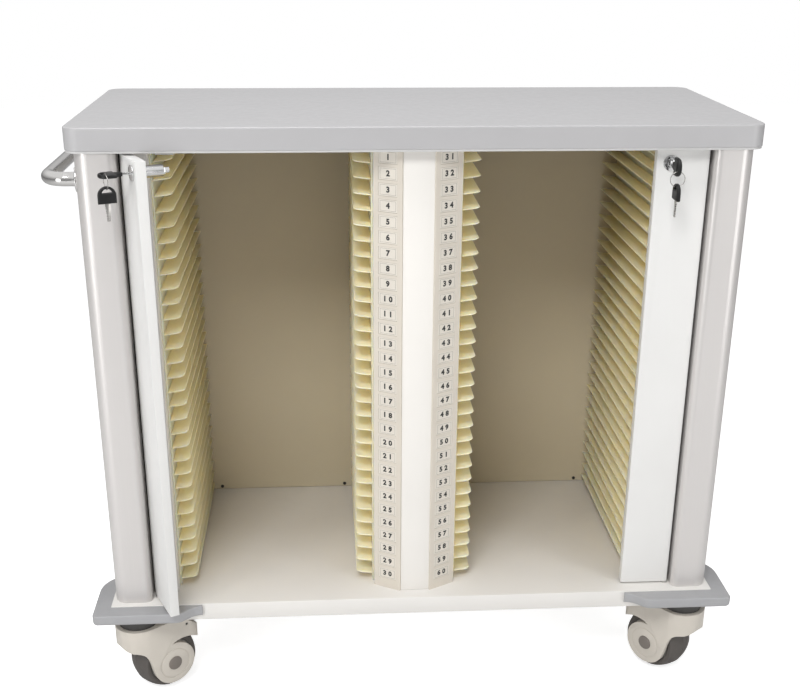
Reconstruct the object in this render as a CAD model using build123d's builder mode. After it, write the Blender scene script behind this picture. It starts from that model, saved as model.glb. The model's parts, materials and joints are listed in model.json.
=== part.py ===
from build123d import *
import os
from math import asin, cos, hypot, radians, sin, sqrt, tan

os.makedirs("parts", exist_ok=True)

# Mobile chart rack: two bays of numbered slots between four columns, a grey top,
# a white base on four hooded casters, and a locking flap beside each front column.
# Sizes are in millimetres. +X is to the right, +Y to the back, +Z up from the floor.

# Slots
slot_pitch = 25.0
slots_per_bay = 30
slot_top_margin = 0.5
slot_bottom_margin = 15.5

# Top
top_side_overhang = 7.5
top_end_inset = 5.5
top_thickness = 38.0
top_skin = 3.0
top_corner_radius = 24.0
top_edge_radius = 2.5
top_hem = 4.0
top_hem_inset = 1.0
underpanel_sheet = 2.0
top_boss_diameter = 24.0

# Base
base_width = 1040.0
base_depth = 456.0
base_height = 31.0
base_sheet = 2.0
beam_width = 64.0
beam_wall = 3.0

# Columns and sheet panels
column_width = 63.0
column_depth = 66.0
column_wall = 2.5
column_nose_radius = 22.0
column_inner_radius = 11.0
column_side_inset = 5.0
column_front_inset = 9.0
panel_sheet = 2.0
side_panel_recess = 4.0
jamb_width = 42.0
back_panel_inset = 18.0
back_flange = 27.0

# Divider, racks and slot labels
divider_width = 138.0
divider_post_width = 46.0
divider_flank_depth = 26.0
divider_sheet = 2.0
rack_sheet = 3.0
ledge_reach = 28.0
ledge_sheet = 1.8
ledge_tilt = 7.0
ledge_setback = 37.0
ledge_tip_radius = 10.0
ledge_seat_gap = 0.3
rack_end_gap = 5.0
label_sheet = 3.0
label_margin = 1.5
card_width = 33.0
card_height = 20.0
card_sheet = 0.8
card_pocket_depth = 1.2
card_gap = 0.3

# Locking flaps
flap_width = 82.0
flap_depth = 15.0
flap_setback = 16.0
flap_column_gap = 5.0
flap_sheet = 1.5
flap_end_plate = 3.0
flap_lip = 10.0
flap_end_clearance = 3.0
flap_jamb_gap = 4.0
flap_pin_inset = 4.0
left_flap_open = 65.0
pin_diameter = 6.0
pin_collar_diameter = 11.0
pin_engagement = 14.0
running_gap = 0.05
rest_gap = 0.3

# Locks and keys
lock_edge_distance = 22.0
lock_drop = 22.5
lock_flange_diameter = 24.0
lock_flange_height = 2.0
lock_barrel_diameter = 18.0
lock_barrel_length = 46.0
lock_plug_diameter = 11.1
lock_nut_flats = 24.0
lock_nut_height = 5.0
cam_length = 15.0
cam_width = 10.0
cam_sheet = 2.0
cam_nut_diameter = 10.0
cam_nut_height = 7.0
strike_width = 28.0
strike_drop = 13.0
strike_gap = 2.0
key_stand_off = 25.0
key_neck_length = 10.0
key_neck_width = 14.0
key_blade_width = 8.0
key_blade_sheet = 2.2
key_blade_length = 26.0
key_tip_width = 4.5
bow_width = 27.0
bow_length = 25.0
bow_thickness = 6.0
bow_rim = 3.5
bow_slot_radius = 8.0
bow_slot_length = 6.0
bow_edge_chamfer = 1.2
ring_radius = 11.2
ring_wire = 1.2
ring_play = 0.15
right_key_turn = 90.0

# Corner bumpers
bumper_width = 28.0
bumper_height = 20.0
bumper_drop = 2.0
bumper_front_arm = 182.0
bumper_side_arm = 128.0
bumper_end_thickness = 5.0
bumper_front_taper = 46.0
bumper_side_taper = 46.0
bumper_corner_radius = 8.0
bumper_bottom_radius = 7.0
bumper_top_radius = 2.0

# Push handle
handle_diameter = 22.0
handle_reach = 63.0
handle_end_inset = 53.0
handle_bend_radius = 32.0
handle_drop = 46.0
handle_flange_diameter = 42.0
handle_flange_height = 4.0
handle_screw_spacing = 31.0
handle_screw_diameter = 6.0
handle_screw_height = 2.5

# Casters
wheel_diameter = 112.0
tyre_width = 58.0
tyre_crown = 8.0
tyre_ridge_width = 2.0
tyre_ridge_height = 0.5
hub_diameter = 80.0
hub_width = 54.0
axle_diameter = 12.0
axle_cap_diameter = 26.0
axle_cap_height = 2.0
caster_trail = 42.0
caster_inset_x = 39.0
caster_inset_y = 30.0
hood_width = 82.0
hood_trim = 1.0
hood_wheel_gap = 2.5
hood_side_gap = 3.5
hood_cover_radius = 39.0
hood_rear_reach = 55.0
hood_tail_run = 35.0
hood_tail_drop = 30.0
hood_lip_rise = 42.0
hood_nose_rise = 18.0
hood_nose_cut = 15.0
hood_lip_sag = 9.0
cover_groove_radius = 27.0
cover_groove_width = 1.6
cover_groove_depth = 0.7
swivel_disc_diameter = 68.0
swivel_disc_height = 17.0
swivel_gap = 0.3
swivel_pin_length = 24.0
stem_diameter = 12.0
stem_length = 22.0
stem_nut_flats = 19.0
stem_nut_height = 10.0
caster_mount_height = 158.0
pedal_width = 42.0
pedal_sheet = 9.0
pedal_gap = 1.0
pedal_slope = 17.0
pedal_press = 12.0
pedal_pin_diameter = 5.0
pedal_pivot_reach = 70.0
pedal_pivot_drop = 16.0
pedal_length = 52.0
caster_angles = {"front_left": 37.0, "front_right": 128.0, "rear_left": 335.0, "rear_right": 205.0}

# Small screws at the foot of the back panel
back_screw_diameter = 7.0
back_screw_height = 2.0
back_screw_drop = 6.0

# Heights
bay_height = slot_top_margin + slots_per_bay * slot_pitch + slot_bottom_margin
base_bottom = caster_mount_height
floor_top = base_bottom + base_height
ceiling = floor_top + bay_height
top_surface = ceiling + top_thickness

# Layout across the width, measured from the body's middle
top_width = base_width + 2 * top_side_overhang
divider_face = divider_width / 2
column_outer = base_width / 2 - column_side_inset
column_inner = column_outer - column_width
inner_wall_face = column_inner - jamb_width
bay_width = inner_wall_face - divider_face - 2 * rack_sheet
hinge_x = column_inner - flap_column_gap - flap_pin_inset

# Layout along the depth, measured from the body's middle
top_depth = base_depth - 2 * top_end_inset
handle_span = base_depth - 2 * handle_end_inset
nose_y = column_front_inset - base_depth / 2
column_back_y = nose_y + column_depth
flap_face_y = nose_y + flap_setback
jamb_y = flap_face_y + flap_depth + flap_jamb_gap
hinge_y = flap_face_y + flap_pin_inset
back_face_y = base_depth / 2 - back_panel_inset
ledge_front_y = flap_face_y + ledge_setback
ledge_length = back_face_y - rack_end_gap - ledge_front_y
lock_tail_y = flap_face_y + lock_barrel_length + swivel_gap + cam_sheet + cam_nut_height
short_ledge_cut = lock_tail_y + 2 * strike_gap - ledge_front_y
strike_y = flap_face_y + lock_barrel_length + swivel_gap - strike_gap - underpanel_sheet

# Flap and lock places
flap_bottom = floor_top + flap_end_clearance
flap_top = ceiling - flap_end_clearance
flap_free_u = flap_width - flap_pin_inset
lock_u = flap_free_u - lock_edge_distance
lock_z = ceiling - lock_drop

# Where the key ring hangs: on the bar between the bow's slot and its side, at the slot's flat end.
hang_depth = bow_rim + bow_slot_length - ring_wire
hang_out = key_stand_off + bow_length - hang_depth
bar_inner = sqrt(bow_slot_radius**2 - (bow_rim + bow_slot_radius - hang_depth) ** 2)
bar_outer = sqrt((bow_width / 2) ** 2 - max(0.0, bow_width / 2 - hang_depth) ** 2)
hang_side = (bar_inner + bar_outer) / 2
bar_half = (bar_outer - bar_inner) / 2
bar_reach = max(
    hypot(bow_thickness / 2, bar_half - bow_edge_chamfer),
    hypot(bow_thickness / 2 - bow_edge_chamfer, bar_half),
)
ring_inner = ring_radius - ring_wire / 2 - ring_play
ring_drop = ring_inner - bar_reach

# The origin stands on the floor under the middle of the whole part's box, so the body is
# off it by half of what the handle and the open flap's key reach past the far side.
handle_out = column_outer + handle_reach
bumper_out_x = base_width / 2 + bumper_width
bumper_out_y = base_depth / 2 + bumper_width
open_swing = radians(left_flap_open)
spare_u = lock_u + hang_side + bow_thickness / 2
spare_v = flap_pin_inset + hang_out + bow_width / 2
front_reach = -hinge_y + max(
    spare_u * sin(open_swing) + (spare_v - bow_edge_chamfer) * cos(open_swing),
    (spare_u - bow_edge_chamfer) * sin(open_swing) + spare_v * cos(open_swing),
)
mid_x = (handle_out - bumper_out_x) / 2
mid_y = (front_reach - bumper_out_y) / 2


def at(x, y, z):
    return Vector(mid_x + x, mid_y + y, z)


up = Vector(0, 0, 1)
sides = {"left": -1, "right": 1}
corners = {"front_left": (-1, -1), "front_right": (1, -1), "rear_left": (-1, 1), "rear_right": (1, 1)}


# Top cover: a moulded grey shell, open below, with bosses that stand on the panel under it.
with BuildPart() as top_cover:
    with BuildSketch(Plane(at(0, 0, ceiling + top_hem))):
        RectangleRounded(top_width, top_depth, top_corner_radius)
    extrude(amount=top_thickness - top_hem)
    fillet(top_cover.faces().sort_by(Axis.Z)[-1].edges(), top_edge_radius)
    with BuildSketch(Plane(at(0, 0, ceiling + top_hem))):
        RectangleRounded(top_width - 2 * top_skin, top_depth - 2 * top_skin, top_corner_radius - top_skin)
    extrude(amount=top_thickness - top_hem - top_skin, mode=Mode.SUBTRACT)
    with BuildSketch(Plane(at(0, 0, ceiling + underpanel_sheet))):
        with GridLocations(top_width / 4, top_depth / 2, 4, 2):
            Circle(top_boss_diameter / 2)
    extrude(amount=top_thickness - underpanel_sheet - top_skin)
top_cover.part.label = "top_cover"
export_step(top_cover.part, "parts/top_cover.step")

# Top underpanel: a shallow white pan whose hem shows under the shell, with a strike for each lock.
hem_width = top_width - 2 * top_hem_inset
hem_depth = top_depth - 2 * top_hem_inset
hem_radius = top_corner_radius - top_hem_inset
with BuildPart() as top_underpanel:
    with BuildSketch(Plane(at(0, 0, ceiling))):
        RectangleRounded(hem_width, hem_depth, hem_radius)
    extrude(amount=top_hem)
    with BuildSketch(Plane(at(0, 0, ceiling + underpanel_sheet))):
        RectangleRounded(
            hem_width - 2 * underpanel_sheet,
            hem_depth - 2 * underpanel_sheet,
            hem_radius - underpanel_sheet,
        )
    extrude(amount=top_hem - underpanel_sheet, mode=Mode.SUBTRACT)
    with BuildSketch(Plane(at(0, strike_y + underpanel_sheet / 2, ceiling))):
        with GridLocations(2 * (hinge_x - lock_u), 0, 2, 1):
            Rectangle(strike_width, underpanel_sheet)
    extrude(amount=-strike_drop)
top_underpanel.part.label = "top_underpanel"
export_step(top_underpanel.part, "parts/top_underpanel.step")

# Base tray: folded white sheet, open below.
with BuildPart() as base_tray:
    with BuildSketch(Plane(at(0, 0, base_bottom))):
        Rectangle(base_width, base_depth)
    extrude(amount=base_height)
    with BuildSketch(Plane(at(0, 0, base_bottom))):
        Rectangle(base_width - 2 * base_sheet, base_depth - 2 * base_sheet)
    extrude(amount=base_height - base_sheet, mode=Mode.SUBTRACT)
base_tray.part.label = "base_tray"
export_step(base_tray.part, "parts/base_tray.step")

# Base beams: two box sections under the tray, front to back, that carry the casters.
caster_x = base_width / 2 - caster_inset_x
caster_y = base_depth / 2 - caster_inset_y
beam_length = base_depth - 2 * base_sheet
beam_height = base_height - base_sheet
with BuildPart() as base_beams:
    beam_end = at(0, beam_length / 2, base_bottom + beam_height / 2)
    with BuildSketch(Plane(beam_end, x_dir=(1, 0, 0), z_dir=(0, -1, 0))):
        with GridLocations(2 * caster_x, 0, 2, 1):
            Rectangle(beam_width, beam_height)
            Rectangle(beam_width - 2 * beam_wall, beam_height - 2 * beam_wall, mode=Mode.SUBTRACT)
    extrude(amount=beam_length)
    with BuildSketch(Plane(at(0, 0, base_bottom))):
        with GridLocations(2 * caster_x, 2 * caster_y, 2, 2):
            Circle(stem_diameter / 2 + running_gap)
    extrude(amount=beam_wall, mode=Mode.SUBTRACT)
base_beams.part.label = "base_beams"
export_step(base_beams.part, "parts/base_beams.step")

# Columns: hollow aluminium extrusions with a rounded nose, standing on the tray's corners.
for corner, (sx, sy) in corners.items():
    column_x = sx * (column_outer - column_width / 2)
    column_y = -sy * (nose_y + column_depth / 2)
    with BuildPart() as column:
        with BuildSketch(Plane(at(column_x, column_y, floor_top))) as section:
            Rectangle(column_width, column_depth)
            for hand, radius in ((sx, column_nose_radius), (-sx, column_inner_radius)):
                nose = section.vertices().group_by(Axis.Y)[-1 if sy > 0 else 0].sort_by(Axis.X)
                fillet(nose[-1 if hand > 0 else 0], radius)
            offset(amount=-column_wall, mode=Mode.SUBTRACT)
        extrude(amount=bay_height)
    column.part.label = corner + "_column"
    export_step(column.part, f"parts/{corner}_column.step")

# Side panels: flat white sheets between the columns.
for side, sx in sides.items():
    panel_x = sx * (column_outer - side_panel_recess - panel_sheet / 2)
    with BuildPart() as side_panel:
        with BuildSketch(Plane(at(panel_x, 0, floor_top))):
            Rectangle(panel_sheet, -2 * column_back_y)
        extrude(amount=bay_height)
    side_panel.part.label = side + "_side_panel"
    export_step(side_panel.part, f"parts/{side}_side_panel.step")

# Back panel: a shallow sheet pan whose flanges lie on the rear columns.
with BuildPart() as back_panel:
    with BuildSketch(Plane(at(0, back_face_y + panel_sheet - back_flange / 2, floor_top))):
        Rectangle(2 * column_inner, back_flange)
        with Locations((0, -panel_sheet)):
            Rectangle(2 * column_inner - 2 * panel_sheet, back_flange, mode=Mode.SUBTRACT)
    extrude(amount=bay_height)
back_panel.part.label = "back_panel"
export_step(back_panel.part, "parts/back_panel.step")

# Inner walls: folded sheets behind the outer racks, with a jamb that meets the front column.
for side, sx in sides.items():
    wall_x = inner_wall_face + panel_sheet / 2
    wall_length = back_face_y - jamb_y
    with BuildPart() as inner_wall:
        with BuildSketch(Plane(at(0, jamb_y, floor_top))):
            with Locations((sx * wall_x, wall_length / 2)):
                Rectangle(panel_sheet, wall_length)
            with Locations((sx * (inner_wall_face + jamb_width / 2), panel_sheet / 2)):
                Rectangle(jamb_width, panel_sheet)
        extrude(amount=bay_height)
    inner_wall.part.label = side + "_inner_wall"
    export_step(inner_wall.part, f"parts/{side}_inner_wall.step")

# Centre divider: a folded hollow wall with a flat post in front and a slanted flank each side.
flank_y = flap_face_y + divider_flank_depth
with BuildPart() as centre_divider:
    with BuildSketch(Plane(at(0, 0, floor_top))) as divider_section:
        with BuildLine():
            Polyline(
                (-divider_post_width / 2, flap_face_y),
                (divider_post_width / 2, flap_face_y),
                (divider_face, flank_y),
                (divider_face, back_face_y),
                (-divider_face, back_face_y),
                (-divider_face, flank_y),
                close=True,
            )
        make_face()
        offset(amount=-divider_sheet, kind=Kind.INTERSECTION, mode=Mode.SUBTRACT)
    extrude(amount=bay_height)
centre_divider.part.label = "centre_divider"
export_step(centre_divider.part, "parts/centre_divider.step")

# Racks: a cream backing sheet with a ledge for each slot, tilted up towards its tip.
# On the two wall racks the top ledge is cut back to clear the lock's tail.
slot_middle_1 = ceiling - slot_top_margin - slot_pitch / 2
ledge_rows = [(0, 0, -slot_pitch * row) for row in range(slots_per_bay)]
rack_places = {
    "left_wall_rack": (-inner_wall_face, 1, short_ledge_cut),
    "divider_left_rack": (-divider_face, -1, 0),
    "divider_right_rack": (divider_face, 1, 0),
    "right_wall_rack": (inner_wall_face, -1, short_ledge_cut),
}
for rack_name, (seat_x, out, cut_back) in rack_places.items():
    face_x = seat_x + out * rack_sheet
    root = at(face_x + out * ledge_seat_gap, ledge_front_y, slot_middle_1 - slot_pitch / 2)
    across = Vector(out * cos(radians(ledge_tilt)), 0, sin(radians(ledge_tilt)))
    with BuildPart() as ledge:
        with BuildSketch(Plane(root, x_dir=across, z_dir=across.cross(Vector(0, out, 0)))) as outline:
            with Locations((ledge_reach / 2, out * ledge_length / 2)):
                Rectangle(ledge_reach, ledge_length)
            tip = outline.vertices().sort_by_distance((ledge_reach, 0, 0))[0]
            fillet(tip, ledge_tip_radius)
        extrude(amount=-ledge_sheet)
    with BuildPart() as top_ledge:
        with BuildSketch(Plane(root, x_dir=across, z_dir=across.cross(Vector(0, out, 0)))) as outline:
            with Locations((ledge_reach / 2, out * (ledge_length + cut_back) / 2)):
                Rectangle(ledge_reach, ledge_length - cut_back)
            tip = outline.vertices().sort_by_distance((ledge_reach, 0, 0))[0]
            fillet(tip, ledge_tip_radius)
        extrude(amount=-ledge_sheet)
    with BuildPart() as rack:
        sheet_x = seat_x + out * rack_sheet / 2
        with BuildSketch(Plane(at(sheet_x, ledge_front_y + ledge_length / 2, floor_top))):
            Rectangle(rack_sheet, ledge_length)
        extrude(amount=bay_height)
        add(top_ledge.part)
        with Locations(*ledge_rows[1:]):
            add(ledge.part)
    rack.part.label = rack_name
    export_step(rack.part, f"parts/{rack_name}.step")

# Label strips: cream plates on the divider's flanks, with a pocket for each slot's card.
flank_run = (divider_width - divider_post_width) / 2
flank_length = hypot(flank_run, divider_flank_depth)
label_middle = ceiling - slot_top_margin - slots_per_bay * slot_pitch / 2
strip_middle = floor_top + bay_height / 2
card_places = []
for side, sx in sides.items():
    along_flank = Vector(flank_run, sx * divider_flank_depth, 0).normalized()
    out_of_flank = along_flank.cross(up)
    flank_x = sx * (divider_post_width + flank_run) / 2
    flank_middle = at(flank_x, flap_face_y + divider_flank_depth / 2, strip_middle)
    flank = Plane(flank_middle, x_dir=along_flank, z_dir=out_of_flank)
    pocket_floor = flank.offset(label_sheet - card_pocket_depth)
    with BuildPart() as label_strip:
        with BuildSketch(flank):
            Rectangle(flank_length - 2 * label_margin, bay_height)
        extrude(amount=label_sheet)
        with BuildSketch(pocket_floor):
            with Locations((0, label_middle - strip_middle)):
                with GridLocations(0, slot_pitch, 1, slots_per_bay):
                    Rectangle(card_width, card_height)
        extrude(amount=card_pocket_depth, mode=Mode.SUBTRACT)
    label_strip.part.label = side + "_label_strip"
    export_step(label_strip.part, f"parts/{side}_label_strip.step")
    card_places.append(pocket_floor)

# Slot cards: one thin card in each pocket.
with BuildPart() as slot_cards:
    for pocket_floor in card_places:
        with BuildSketch(pocket_floor):
            with Locations((0, label_middle - strip_middle)):
                with GridLocations(0, slot_pitch, 1, slots_per_bay):
                    Rectangle(card_width - 2 * card_gap, card_height - 2 * card_gap)
        extrude(amount=card_sheet)
slot_cards.part.label = "slot_cards"
export_step(slot_cards.part, "parts/slot_cards.step")

# Corner bumpers: grey mouldings round the tray's corners that taper away along both edges.
for corner, (sx, sy) in corners.items():
    edge_x = base_width / 2
    edge_y = base_depth / 2
    front_end = edge_x + bumper_width - bumper_front_arm
    side_end = edge_y + bumper_width - bumper_side_arm
    with BuildPart() as bumper:
        with BuildSketch(Plane(at(0, 0, floor_top - bumper_drop - bumper_height))) as outline:
            with BuildLine():
                taper_start = (sx * front_end, sy * (edge_y + bumper_end_thickness))
                taper_end = (sx * (front_end + bumper_front_taper), sy * (edge_y + bumper_width))
                curve_start = (sx * (edge_x + bumper_width), sy * (side_end + bumper_side_taper))
                curve_end = (sx * (edge_x + bumper_end_thickness), sy * side_end)
                outer_corner = (sx * (edge_x + bumper_width), sy * (edge_y + bumper_width))
                Spline(taper_start, taper_end, tangents=[(sx, 0), (sx, 0)])
                Polyline(taper_end, outer_corner, curve_start)
                Spline(curve_start, curve_end, tangents=[(0, -sy), (-sx * 0.8, -sy * 0.6)])
                Polyline(
                    curve_end,
                    (sx * edge_x, sy * side_end),
                    (sx * edge_x, sy * edge_y),
                    (sx * front_end, sy * edge_y),
                    taper_start,
                )
            make_face()
            far_corner = outline.vertices().sort_by_distance((*outer_corner, 0))[0]
            fillet(far_corner, bumper_corner_radius)
        extrude(amount=bumper_height)
        for rim, radius in ((0, bumper_bottom_radius), (-1, bumper_top_radius)):
            rim_edges = bumper.faces().sort_by(Axis.Z)[rim].edges()
            outer_edges = []
            for rim_edge in rim_edges:
                short_end = rim_edge.geom_type == GeomType.LINE and rim_edge.length < bumper_width
                past_x = abs(rim_edge.center().X - mid_x) - edge_x
                past_y = abs(rim_edge.center().Y - mid_y) - edge_y
                if max(past_x, past_y) > bumper_end_thickness / 2 and not short_end:
                    outer_edges.append(rim_edge)
            fillet(outer_edges, radius)
    bumper.part.label = corner + "_bumper"
    export_step(bumper.part, f"parts/{corner}_bumper.step")

# Push handle: a bent tube with a flange welded on each end, screwed to the left columns.
handle_z = ceiling - handle_drop
handle_x = -(handle_out - handle_diameter / 2)
leg_root = -(column_outer + handle_flange_height)
with BuildPart() as push_handle:
    with BuildLine() as handle_path:
        FilletPolyline(
            at(leg_root, -handle_span / 2, handle_z),
            at(handle_x, -handle_span / 2, handle_z),
            at(handle_x, handle_span / 2, handle_z),
            at(leg_root, handle_span / 2, handle_z),
            radius=handle_bend_radius,
        )
    with BuildSketch(Plane(handle_path.line @ 0, z_dir=handle_path.line % 0)):
        Circle(handle_diameter / 2)
    sweep()
    with BuildSketch(Plane(at(-column_outer, 0, handle_z), x_dir=(0, 1, 0), z_dir=(-1, 0, 0))):
        with GridLocations(handle_span, 0, 2, 1):
            Circle(handle_flange_diameter / 2)
    extrude(amount=handle_flange_height)
push_handle.part.label = "push_handle"
export_step(push_handle.part, "parts/push_handle.step")

with BuildPart() as handle_screws:
    with BuildSketch(Plane(at(leg_root, 0, handle_z), x_dir=(0, 1, 0), z_dir=(-1, 0, 0))):
        with GridLocations(handle_span, handle_screw_spacing, 2, 2):
            Circle(handle_screw_diameter / 2)
    extrude(amount=handle_screw_height, taper=12)
handle_screws.part.label = "handle_screws"
export_step(handle_screws.part, "parts/handle_screws.step")

# Pivot pins: each has a collar on the tray or the top panel and a pin in the flap's end plate.
with BuildPart() as flap_pivot_pins:
    for foot_z, reach in ((floor_top, 1), (ceiling, -1)):
        with BuildSketch(Plane(at(0, hinge_y, foot_z))):
            with GridLocations(2 * hinge_x, 0, 2, 1):
                Circle(pin_collar_diameter / 2)
        extrude(amount=reach * (flap_end_clearance - rest_gap))
        with BuildSketch(Plane(at(0, hinge_y, foot_z))):
            with GridLocations(2 * hinge_x, 0, 2, 1):
                Circle(pin_diameter / 2)
        extrude(amount=reach * (flap_end_clearance + pin_engagement))
flap_pivot_pins.part.label = "flap_pivot_pins"
export_step(flap_pivot_pins.part, "parts/flap_pivot_pins.step")

# Locking flaps with their locks and keys. u runs from the hinge to the free edge,
# v from the hinge line to the inside of the rack. The left flap stands open.
flap_angles = {"left": left_flap_open, "right": 0.0}
key_turns = {"left": 0.0, "right": right_key_turn}
flap_height = flap_top - flap_bottom
flap_end_u = flap_free_u - flap_sheet
inner_v = flap_depth - flap_pin_inset
bow_radius = bow_width / 2
bow_sides = [
    (-bow_radius, -bow_radius),
    (-bow_radius, -bow_length),
    (bow_radius, -bow_length),
    (bow_radius, -bow_radius),
]
bow_dome = [(-bow_radius, -bow_radius), (0, 0), (bow_radius, -bow_radius)]
slot_low = -bow_rim - bow_slot_length
slot_half = sqrt(bow_slot_radius**2 - (bow_slot_radius - bow_slot_length) ** 2)
slot_flat = [(-slot_half, slot_low), (slot_half, slot_low)]
slot_arch = [(-slot_half, slot_low), (0, -bow_rim), (slot_half, slot_low)]
for side, sx in sides.items():
    swing = radians(flap_angles[side])
    along = Vector(-sx * cos(swing), -sin(swing), 0)
    inward = Vector(-sx * sin(swing), cos(swing), 0)
    outward = inward * -1
    hinge = at(sx * hinge_x, hinge_y, 0)
    plan_up = along.cross(inward)
    plan_z = flap_bottom if plan_up.Z > 0 else flap_top
    plan = Plane(hinge + up * plan_z, x_dir=along, z_dir=plan_up)
    lock_point = hinge + along * lock_u + outward * flap_pin_inset + up * lock_z
    lock_face = Plane(lock_point, x_dir=along, z_dir=outward)
    middle_u = flap_width / 2 - flap_pin_inset
    middle_v = flap_depth / 2 - flap_pin_inset

    # Flap: a folded sheet pan, open to the inside, with an end plate for each pivot pin.
    with BuildPart() as flap:
        with BuildSketch(plan):
            with Locations((middle_u, middle_v)):
                Rectangle(flap_width, flap_depth)
        extrude(amount=flap_height)
        with BuildSketch(plan.offset(flap_end_plate)):
            with Locations((middle_u, middle_v)):
                Rectangle(flap_width - 2 * flap_sheet, flap_depth - 2 * flap_sheet)
            with Locations((middle_u, inner_v - flap_sheet / 2)):
                Rectangle(flap_width - 2 * flap_lip, flap_sheet)
        extrude(amount=flap_height - 2 * flap_end_plate, mode=Mode.SUBTRACT)
        with BuildSketch(plan):
            Circle(pin_diameter / 2 + running_gap)
        extrude(amount=flap_height, mode=Mode.SUBTRACT)
        with BuildSketch(lock_face):
            Circle(lock_barrel_diameter / 2 + running_gap)
        extrude(amount=-2 * flap_sheet, mode=Mode.SUBTRACT)
    flap.part.label = side + "_flap"
    export_step(flap.part, f"parts/{side}_flap.step")

    # Lock body: a flanged barrel through the flap's face, and the nut that clamps it.
    with BuildPart() as lock_body:
        with BuildSketch(lock_face):
            Circle(lock_flange_diameter / 2)
        extrude(amount=lock_flange_height)
        with BuildSketch(lock_face):
            Circle(lock_barrel_diameter / 2)
        extrude(amount=-lock_barrel_length)
        with BuildSketch(lock_face.offset(lock_flange_height)):
            Circle(lock_plug_diameter / 2 + running_gap)
        extrude(amount=-lock_flange_height - lock_barrel_length, mode=Mode.SUBTRACT)
        with BuildSketch(lock_face.offset(-flap_sheet)):
            RegularPolygon(lock_nut_flats / 2, 6, major_radius=False)
            Circle(lock_barrel_diameter / 2 + running_gap, mode=Mode.SUBTRACT)
        extrude(amount=-lock_nut_height)
    lock_body.part.label = side + "_lock_body"
    export_step(lock_body.part, f"parts/{side}_lock_body.step")

    # Lock plug: the turning plug with its cam and nut, and the blade of the key in it.
    blade_root = lock_face.offset(lock_flange_height)
    cam_face = lock_face.offset(-lock_barrel_length - swivel_gap)
    with BuildPart() as lock_plug:
        with BuildSketch(blade_root):
            Circle(lock_plug_diameter / 2)
        extrude(amount=-lock_flange_height - lock_barrel_length - swivel_gap)
        with BuildSketch(cam_face):
            with Locations(((cam_width / 2 - cam_length) / 2, 0)):
                Rectangle(cam_length + cam_width / 2, cam_width)
        extrude(amount=-cam_sheet)
        with BuildSketch(cam_face.offset(-cam_sheet)):
            RegularPolygon(cam_nut_diameter / 2, 6)
        extrude(amount=-cam_nut_height)
        with BuildSketch(blade_root):
            Rectangle(key_blade_width, key_blade_sheet, rotation=key_turns[side])
        extrude(amount=key_stand_off - key_neck_length - lock_flange_height)
    lock_plug.part.label = side + "_lock_plug"
    export_step(lock_plug.part, f"parts/{side}_lock_plug.step")

    # Key bow: a flat black grip, domed at its outer end, with an arched slot and a tapered neck.
    key_turn = radians(key_turns[side])
    bow_wide = along * cos(key_turn) - up * sin(key_turn)
    bow_root = lock_point + outward * key_stand_off
    bow_tip = bow_root + outward * bow_length
    bow_face = Plane(bow_tip, x_dir=bow_wide, z_dir=bow_wide.cross(outward))
    with BuildPart() as key_bow:
        with BuildSketch(bow_face):
            with BuildLine():
                Polyline(*bow_sides)
                ThreePointArc(*bow_dome)
            make_face()
            with BuildLine():
                Polyline(*slot_flat)
                ThreePointArc(*slot_arch)
            make_face(mode=Mode.SUBTRACT)
        extrude(amount=bow_thickness / 2, both=True)
        chamfer(key_bow.faces().sort_by(Axis((0, 0, 0), bow_face.z_dir))[0].edges(), bow_edge_chamfer)
        chamfer(key_bow.faces().sort_by(Axis((0, 0, 0), bow_face.z_dir))[-1].edges(), bow_edge_chamfer)
        with BuildSketch(bow_face):
            with BuildLine():
                Polyline(
                    (-key_neck_width / 2, -bow_length),
                    (key_neck_width / 2, -bow_length),
                    (key_blade_width / 2, -bow_length - key_neck_length),
                    (-key_blade_width / 2, -bow_length - key_neck_length),
                    close=True,
                )
            make_face()
        extrude(amount=bow_thickness / 2 - bow_edge_chamfer / 2, both=True)
    key_bow.part.label = side + "_key_bow"
    export_step(key_bow.part, f"parts/{side}_key_bow.step")

    # Spare key: hangs on a ring through the slot of the key in the lock.
    hang_point = lock_point + outward * hang_out + bow_wide * hang_side
    ring_middle = hang_point - up * ring_drop
    spare_top = ring_middle - up * (sqrt(ring_inner**2 - (bow_thickness / 2) ** 2) - bow_rim)
    spare_face = Plane(spare_top, x_dir=outward, z_dir=outward.cross(up))
    with BuildPart() as spare_bow:
        with BuildSketch(spare_face):
            with BuildLine():
                Polyline(*bow_sides)
                ThreePointArc(*bow_dome)
            make_face()
            with BuildLine():
                Polyline(*slot_flat)
                ThreePointArc(*slot_arch)
            make_face(mode=Mode.SUBTRACT)
        extrude(amount=bow_thickness / 2, both=True)
        chamfer(spare_bow.faces().sort_by(Axis((0, 0, 0), spare_face.z_dir))[0].edges(), bow_edge_chamfer)
        chamfer(spare_bow.faces().sort_by(Axis((0, 0, 0), spare_face.z_dir))[-1].edges(), bow_edge_chamfer)
    spare_bow.part.label = side + "_spare_key_bow"
    export_step(spare_bow.part, f"parts/{side}_spare_key_bow.step")

    with BuildPart() as spare_blade:
        with BuildSketch(spare_face):
            with BuildLine():
                Polyline(
                    (-key_blade_width / 2, -bow_length),
                    (key_blade_width / 2, -bow_length),
                    (key_tip_width / 2, -bow_length - key_blade_length),
                    (-key_tip_width / 2, -bow_length - key_blade_length),
                    close=True,
                )
            make_face()
        extrude(amount=key_blade_sheet / 2, both=True)
        with BuildSketch(Plane(ring_middle + along * ring_radius, x_dir=outward, z_dir=up)):
            Circle(ring_wire / 2)
        revolve(axis=Axis(ring_middle, outward))
    spare_blade.part.label = side + "_spare_key_blade"
    export_step(spare_blade.part, f"parts/{side}_spare_key_blade.step")

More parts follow.
